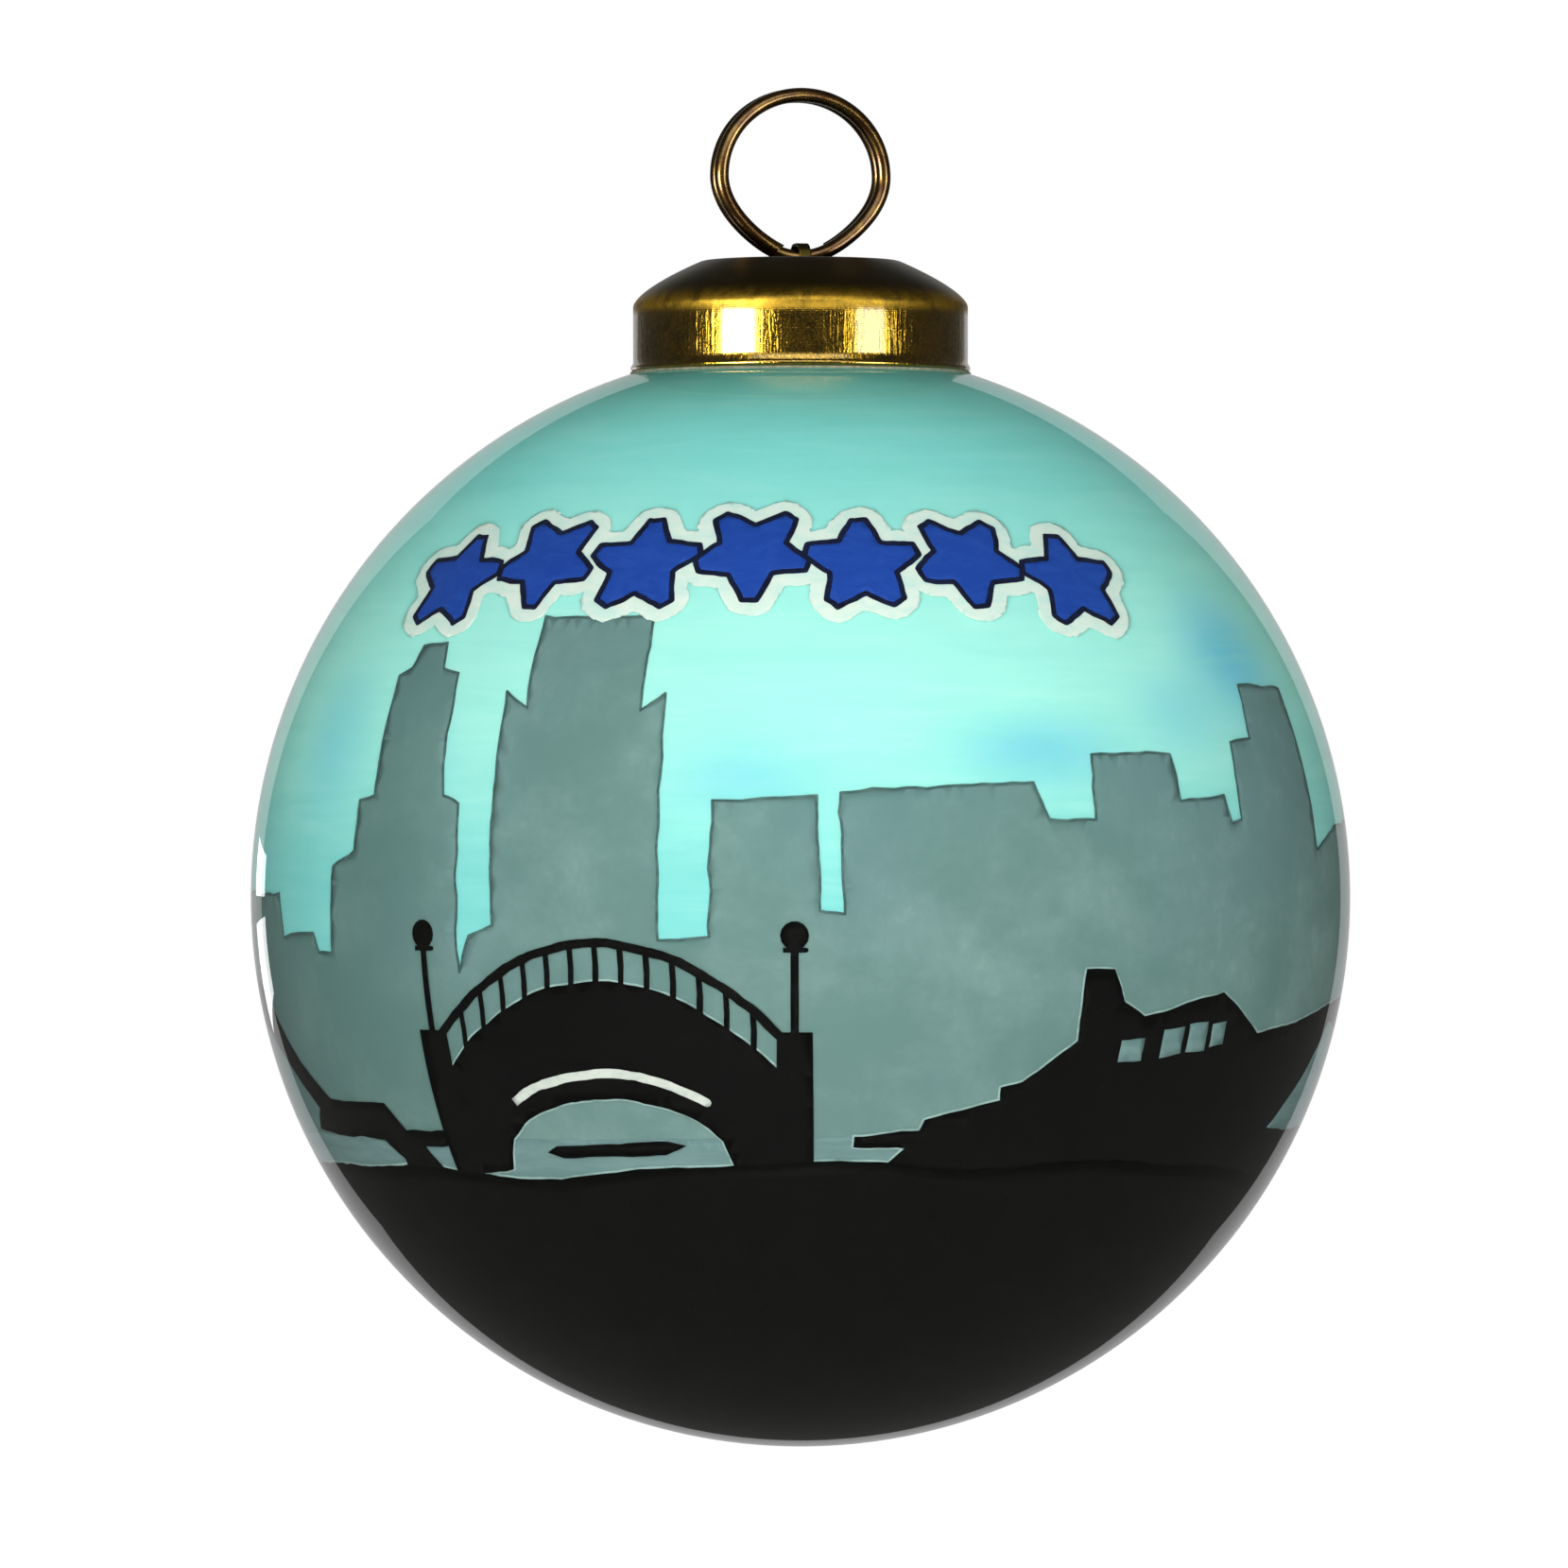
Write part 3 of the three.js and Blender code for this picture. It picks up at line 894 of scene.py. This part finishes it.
def star(lon, lat, radius, turn):
    """A plump five-pointed star with blunt points, in degrees."""
    outline = []
    for k in range(10):
        point = k % 2 == 0
        reach = radius if point else radius * STAR_WAIST
        for spread in (-7, 7) if point else (0,):
            angle = math.radians(turn + 36 * k + spread)
            x, y = -reach * math.sin(angle), reach * math.cos(angle)
            outline.append((lon + x / math.cos(math.radians(lat + y)), lat + y))
    return outline


def star_row():
    """Seven blue stars, every other one upside down, inked in navy on one cream halo."""
    fills, lines, halo = [], [], []
    for i in range(STARS):
        share = i / (STARS - 1) * 2 - 1
        lon = STAR_ROW_MIDDLE + STAR_ROW_HALF * share
        lat = STAR_ROW_HEIGHT - STAR_ROW_SAG * share * share + (0.9 if i % 2 else -0.5)
        radius = STAR_RADIUS + 0.3 * (1 - share * share)
        turn = (36 if i % 2 else 0) + 4 * noise.noise(Vector((i, 2, 7)))
        body = by_hand(star(lon, lat, radius, turn), 20 + i, 0.32, 0.9)
        fills.append(body)
        lines += stroke(body, 0.6, closed=True)
        halo += [body] + stroke(body, 2 * HALO, closed=True)
    navy = plain_paint("navy_line", (0.004, 0.006, 0.022), (0.010, 0.016, 0.06))
    blue = plain_paint("star_blue", (0.011, 0.055, 0.335), (0.020, 0.082, 0.410))
    cream = plain_paint("halo_cream", (0.76, 0.84, 0.74), (0.50, 0.78, 0.70), 0.6)
    film("star_lines", lines, navy, mesh_step=FINE_STEP)
    film("stars", fills, blue, mesh_step=FINE_STEP)
    film("star_halo", halo, cream, mesh_step=FINE_STEP)


def hump(lon, middle, half, crown, ends):
    """Height of a flat arch at a longitude: crown over the middle, ends at its feet."""
    share = (lon - middle) / half
    return ends + (crown - ends) * (1 - min(1, share * share))


def round_arch(middle, reach, half, foot, rise, steps):
    """The part of a half ellipse within reach of its middle, half wide and rise high above foot."""
    curve = []
    for i in range(steps + 1):
        lon = middle - reach + 2 * reach * i / steps
        curve.append((lon, foot + rise * math.sqrt(max(0, 1 - ((lon - middle) / half) ** 2))))
    return curve


def bridge():
    """A humpback stone footbridge with railings and two lamps, in black with a cream arch line."""
    middle, half, foot = -22.0, 22.5, -29.0
    steps = [middle - half + 2 * half * i / 30 for i in range(31)]
    deck = [(lon, hump(lon, middle, half, -8.2, -20.5)) for lon in steps]
    arch_half, arch_rise = 14.5, 8.2
    soffit = round_arch(middle, arch_half, arch_half, foot, arch_rise, 20)
    body = deck[::-1] + [(middle - half, foot - 1)] + soffit + [(middle + half, foot - 1)]
    outline = by_hand(body, 61, 0.25)
    pale_edge("bridge_edge", [outline])
    shapes = [outline]
    rail = [(lon, hump(lon, middle, half - 1, -4.2, -15.5)) for lon in steps[1:-1]]
    shapes += stroke(by_hand(rail, 62, 0.2, closed=False), 0.95)
    for i in range(1, 16):
        lon = middle - half + 2 * half * i / 16
        low = hump(lon, middle, half, -8.6, -21)
        top = hump(lon, middle, half - 1, -4.4, -15.5)
        shapes += stroke([(lon, low), (lon + 0.1, (low + top) / 2), (lon, top)], 0.62)
    for lon in (middle - half + 1.2, middle + half - 1.2):
        pier = [(lon - 2.2, foot - 1), (lon + 2.2, foot - 1), (lon + 1.9, -13.5), (lon - 1.9, -13.5)]
        shapes.append(pier)
        shapes += stroke([(lon, -14), (lon, -9), (lon, -4.5)], 0.8)
        shapes.append([(lon + 1.5 * math.cos(a), -3.4 + 1.5 * math.sin(a)) for a in turns(14)])
        shapes += stroke([(lon - 1.2, -4.9), (lon, -4.9), (lon + 1.2, -4.9)], 0.5)
    film("footbridge", shapes, BLACK)
    trim = round_arch(middle, 11.6, arch_half + 1.9, foot, 11.0, 24)
    cream = plain_paint("trim_cream", (0.66, 0.70, 0.62), (0.42, 0.48, 0.44), 0.5)
    film("arch_line", stroke(by_hand(trim, 63, 0.22, closed=False), 0.95), cream, mesh_step=FINE_STEP)
    punt = [(-31, -26.9), (-29.5, -26.2), (-15.5, -25.6), (-13.3, -26.0), (-15.8, -27.2), (-29, -27.6)]
    film("punt", [by_hand(punt[::-1], 64, 0.2)], BLACK, mesh_step=FINE_STEP)


def boathouse():
    """Low black roofs with a chimney on the right bank, and lit windows in the colour of the town."""
    roofs = [
        (6, -25), (13.5, -24.3), (14, -23), (22.5, -21), (22.5, -19.5), (25, -19), (31, -14.5),
        (31.3, -7), (34.8, -7), (36.5, -10.5), (39.5, -12), (51, -9.5), (58.5, -14), (66, -13),
        (79, -11), (90, -10), (98, -16), (97.5, -17.5), (92.5, -15), (92.5, -32), (6, -32),
        (12, -26.4), (6, -26.2),
    ]
    outline = by_hand(roofs[::-1], 71, 0.22)
    film("boathouse", [outline], BLACK)
    pale_edge("boathouse_edge", [outline])
    panes = []
    for left, right, low, high in (
        (36.6, 39.8, -17.0, -14.6),
        (42.4, 45.4, -16.4, -13.4),
        (46.2, 49.2, -16.0, -12.9),
        (50.0, 52.2, -15.4, -12.9),
    ):
        pane = [(left, low), (right, low + 0.3), (right, high + 0.3), (left, high)]
        panes.append(by_hand(pane, 72, 0.2))
    porch = [(68.5, -24.6), (78, -24.8), (89.5, -24.4), (89.5, -14.2), (80, -13)]
    panes.append(by_hand(porch, 73, 0.25))
    film("window_panes", panes, water_paint(), mesh_step=FINE_STEP)


def far_banks():
    """A stepped walk on the left bank, and fences and fir trees round the back."""
    shapes = [by_hand(LEFT_WALK, 81, 0.22)]
    for lon in range(102, 180, 6):
        for post in (lon, lon - 276):
            shapes += stroke([(post, TREE_FOOT), (post, -27), (post, -22.5)], 0.8)
    for low, high in ((102, 180), (-180, -87)):
        for lat in (-23.4, -25.8):
            rail = [(lon, lat) for lon in range(low, high + 1, 3)]
            shapes += stroke(by_hand(rail, 84, 0.2, closed=False), 0.7)
    for lon, size in FIRS:
        tree = [(-0.8, 0), (0.8, 0), (0.8, 3), (5, 3), (2.6, 8), (4, 8), (1.9, 13), (2.8, 13), (0, 20)]
        mirrored = [(-x, y) for x, y in reversed(tree[1:-1])]
        outline = [(lon + x * size, TREE_FOOT + y * size) for x, y in tree[1:] + mirrored]
        shapes.append(by_hand(outline, lon, 0.3))
    film("far_banks", shapes, BLACK)


BLACK = black_paint()

blown_glass()
sky()
town()
ground()
far_banks()
boathouse()
bridge()
star_row()
spun_cap()
cap_cement()
ring_strap()
split_ring()

# ---------------------------------------------------------------- floor, light and camera


def stage_sheet(name, corners, colour, glow):
    """A flat sheet of the stage through these corners, which glows with this strength."""
    mesh = bpy.data.meshes.new(name)
    mesh.from_pydata(corners, [], [list(range(len(corners)))])
    made = bpy.data.objects.new(name, mesh)
    bpy.context.scene.collection.objects.link(made)
    finish = Finish(name, roughness=0.7)
    finish.feed("Base Color", colour)
    finish.feed("Emission Color", (1, 1, 1))
    finish.feed("Emission Strength", glow)
    mesh.materials.append(finish.material)
    return made


def lamp(name, azimuth, elevation, distance, size, power):
    """A soft panel that faces the ball, azimuth in degrees from the front towards +X, in metres."""
    data = bpy.data.lights.new(name, "AREA")
    data.shape = "RECTANGLE"
    data.size, data.size_y = size
    data.energy = power
    made = bpy.data.objects.new(name, data)
    bpy.context.scene.collection.objects.link(made)
    a, e = math.radians(azimuth), math.radians(elevation)
    away = Vector((math.sin(a) * math.cos(e), -math.cos(a) * math.cos(e), math.sin(e)))
    made.location = BALL_CENTRE + away * distance
    made.rotation_euler = away.to_track_quat("Z", "Y").to_euler()
    made.visible_camera = False
    return made


def studio():
    """Plain soft light: one big frontal fill, shine panels for the brass, and a pale floor.

    A grey screen behind the ball, and the two panes of a window off to its left, show only as
    the bright edge that glass has where it is seen at a glancing angle."""
    drop = ball_low[2] - 0.12
    corners = [(-3, -3, drop), (3, -3, drop), (3, 3, drop), (-3, 3, drop)]
    floor = stage_sheet("floor", corners, (0.82, 0.82, 0.81), 1.0)
    floor.visible_glossy = floor.visible_diffuse = False
    left, right, behind = -0.52, 0.50, 1.0
    low, high = BALL_CENTRE.z - 0.42, BALL_CENTRE.z + 0.52
    corners = [(left, behind, low), (right, behind, low), (right, behind, high), (left, behind, high)]
    screen = stage_sheet("screen", corners, (0, 0, 0), 0.5)
    screen.visible_camera = False
    lamp("fill", -3, 8, 0.9, (0.7, 0.7), 6.6).visible_glossy = False
    lamp("back_fill", 180, 20, 0.9, (0.7, 0.7), 4.0).visible_glossy = False
    lamp("upper_window", -154, 0.6, 0.98, (0.17, 0.039), 0.045)
    lamp("lower_window", -154, -3.8, 0.98, (0.17, 0.074), 0.085)
    brasswork = bpy.data.collections.new("brasswork")
    for name in ("spun_cap", "wire_strap", "brass_ring"):
        brasswork.objects.link(bpy.data.objects[name])
    for name, azimuth, elevation, size, power in (
        ("left_shine", -43, 0, (0.25, 0.20), 5.0),
        ("right_shine", 48.5, 0, (0.22, 0.20), 1.6),
        ("top_shine", 0, 34, (0.70, 0.34), 1.8),
    ):
        panel = lamp(name, azimuth, elevation, 0.6, size, power)
        panel.light_linking.receiver_collection = brasswork
    world = bpy.data.worlds.new("room")
    bpy.context.scene.world = world
    world.use_nodes = True
    nodes, links = world.node_tree.nodes, world.node_tree.links
    dim = nodes["Background"]
    dim.inputs[0].default_value = (0.075, 0.075, 0.07, 1)
    bright = nodes.new("ShaderNodeBackground")
    bright.inputs[0].default_value = (1, 1, 1, 1)
    path = nodes.new("ShaderNodeLightPath")
    both = nodes.new("ShaderNodeMixShader")
    links.new(path.outputs["Is Camera Ray"], both.inputs[0])
    links.new(dim.outputs[0], both.inputs[1])
    links.new(bright.outputs[0], both.inputs[2])
    links.new(both.outputs[0], nodes["World Output"].inputs[0])
    bpy.context.scene.view_settings.view_transform = "Standard"


def camera():
    """A long lens, level with the front of the ball."""
    distance, width = 0.75, 0.11425
    data = bpy.data.cameras.new("camera")
    data.sensor_width = 36
    data.lens = 36 * distance / width
    data.clip_start = 0.01
    made = bpy.data.objects.new("camera", data)
    bpy.context.scene.collection.objects.link(made)
    made.location = BALL_CENTRE + Vector((-0.0012, -distance, 0.0082))
    made.rotation_euler = (math.pi / 2, 0, 0)
    bpy.context.scene.camera = made


studio()
camera()
